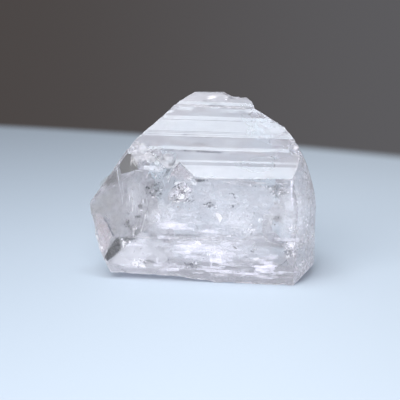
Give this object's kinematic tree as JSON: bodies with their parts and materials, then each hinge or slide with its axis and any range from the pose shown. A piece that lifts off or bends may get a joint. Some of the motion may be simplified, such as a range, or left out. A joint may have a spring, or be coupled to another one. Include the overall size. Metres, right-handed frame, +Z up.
{
  "type": "danburite crystal",
  "caption": "Clear, stout prismatic crystal lying on its side, with a wedge-shaped pointed end, ledges along its length and a rounded broken end.",
  "frame": {"origin": "middle of the bounding box's underside, on the surface that the crystal rests on", "axes": "+X along the crystal's long axis towards its broken end, +Y from the broad front face to the back, +Z up"},
  "size_m": [0.0326, 0.0208, 0.0257],
  "materials": {
    "crystal": "clear colourless crystal, vitreous, with faint veils inside"
  },
  "bodies": {
    "root": {"crystal": "crystal"}
  },
  "joints": []
}
